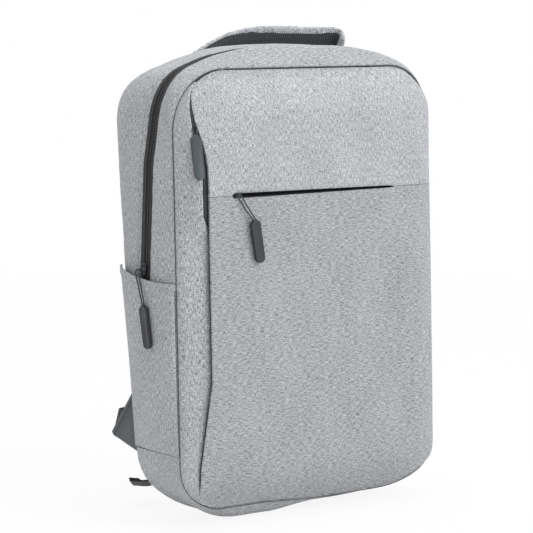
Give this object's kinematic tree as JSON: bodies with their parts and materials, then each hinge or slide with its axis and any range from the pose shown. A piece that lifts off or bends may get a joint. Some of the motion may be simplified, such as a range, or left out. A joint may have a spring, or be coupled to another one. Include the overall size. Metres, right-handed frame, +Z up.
{
  "type": "backpack",
  "caption": "Slim two-compartment laptop backpack in two-tone cloth, with a zipped front slit pocket, side pockets, padded shoulder straps and a top handle.",
  "frame": {"origin": "middle of the flat of the base, on the floor the bag stands on", "axes": "+X to the right seen from the front panel, +Y towards the wearer's back and the straps, +Z up"},
  "size_m": [0.3275, 0.1726, 0.4696],
  "materials": {
    "shell_cloth": "two-tone woven",
    "shell_dark": "two-tone woven",
    "lining": "plain woven",
    "spacer_mesh": "knitted mesh",
    "webbing": "ribbed",
    "zip_tape": "woven with moulded coil",
    "pull_cord": "braided",
    "moulded_plastic": "matte",
    "zip_metal": "satin",
    "board": "matte",
    "foam": "matte"
  },
  "bodies": {
    "bag": {"front_upper_panel": "shell_cloth", "front_pocket_panel": "shell_cloth", "front_pocket_lining": "lining", "pocket_zip_upper": "zip_tape", "pocket_zip_lower": "zip_tape", "compartment_gusset": "shell_cloth", "compartment_zip_outer": "zip_tape", "compartment_zip_inner": "zip_tape", "front_gusset": "shell_cloth", "front_lining": "lining", "main_zip_front": "zip_tape", "main_zip_rear": "zip_tape", "rear_gusset": "shell_cloth", "rear_lining": "lining", "left_side_panel": "shell_cloth", "right_side_panel": "shell_cloth", "bottom_panel": "shell_dark", "base_board": "board", "divider_panel": "lining", "laptop_sleeve": "lining", "sleeve_strap": "webbing", "back_foam": "foam", "back_panel": "shell_dark", "left_back_pad": "spacer_mesh", "right_back_pad": "spacer_mesh", "strap_yoke": "shell_dark", "left_side_pocket": "shell_cloth", "right_side_pocket": "shell_cloth", "left_pocket_binding": "shell_dark", "right_pocket_binding": "shell_dark", "left_strap_tab": "shell_dark", "right_strap_tab": "shell_dark", "left_lower_webbing": "webbing", "right_lower_webbing": "webbing", "left_handle_anchor": "shell_dark", "right_handle_anchor": "shell_dark"},
    "handle": {"handle_cover": "shell_cloth", "handle_mesh": "spacer_mesh"},
    "left_strap": {"left_strap_pad": "shell_cloth", "left_strap_mesh": "spacer_mesh", "left_strap_webbing": "webbing", "left_ladder_lock": "moulded_plastic", "left_webbing_tail": "webbing"},
    "right_strap": {"right_strap_pad": "shell_cloth", "right_strap_mesh": "spacer_mesh", "right_strap_webbing": "webbing", "right_ladder_lock": "moulded_plastic", "right_webbing_tail": "webbing"},
    "main_slider": {"main_slider": "zip_metal"},
    "main_pull": {"main_pull_cord": "pull_cord", "main_pull_tab": "moulded_plastic"},
    "pocket_slider": {"pocket_slider": "zip_metal"},
    "pocket_pull": {"pocket_pull_cord": "pull_cord", "pocket_pull_tab": "moulded_plastic"},
    "side_slider": {"side_slider": "zip_metal"},
    "side_pull": {"side_pull_cord": "pull_cord", "side_pull_tab": "moulded_plastic"}
  },
  "joints": [
    {"name": "handle_swing", "type": "hinge", "parent": "bag", "child": "handle", "pos_m": [0, 0.0355, 0.4475], "axis": [1, 0, 0], "range_deg": [0, 60]},
    {"name": "left_strap_swing", "type": "hinge", "parent": "bag", "child": "left_strap", "pos_m": [-0.046, 0.06764, 0.411], "axis": [1, 0, 0], "range_deg": [0, 15]},
    {"name": "right_strap_swing", "type": "hinge", "parent": "bag", "child": "right_strap", "pos_m": [0.046, 0.06764, 0.411], "axis": [1, 0, 0], "range_deg": [0, 15]},
    {"name": "main_zip_slide", "type": "slide", "parent": "bag", "child": "main_slider", "axis": [0, -0.0582, 0.9983], "range_m": [0, 0.09]},
    {"name": "main_pull_swing", "type": "hinge", "parent": "main_slider", "child": "main_pull", "pos_m": [-0.157, 0.01477, 0.241], "axis": [0, 0.9983, 0.0582], "range_deg": [0, 110]},
    {"name": "pocket_zip_slide", "type": "slide", "parent": "bag", "child": "pocket_slider", "axis": [1, 0, 0], "range_m": [0, 0.18]},
    {"name": "pocket_pull_swing", "type": "hinge", "parent": "pocket_slider", "child": "pocket_pull", "pos_m": [-0.097, -0.05443, 0.311], "axis": [-1, 0, 0], "range_deg": [0, 60]},
    {"name": "side_zip_slide", "type": "slide", "parent": "bag", "child": "side_slider", "axis": [0.0904, -0.1564, -0.9836], "range_m": [0, 0.062]},
    {"name": "side_pull_swing", "type": "hinge", "parent": "side_slider", "child": "side_pull", "pos_m": [-0.1404, -0.0435, 0.3766], "axis": [-0.9959, -0.0142, -0.0893], "range_deg": [0, 110]}
  ]
}
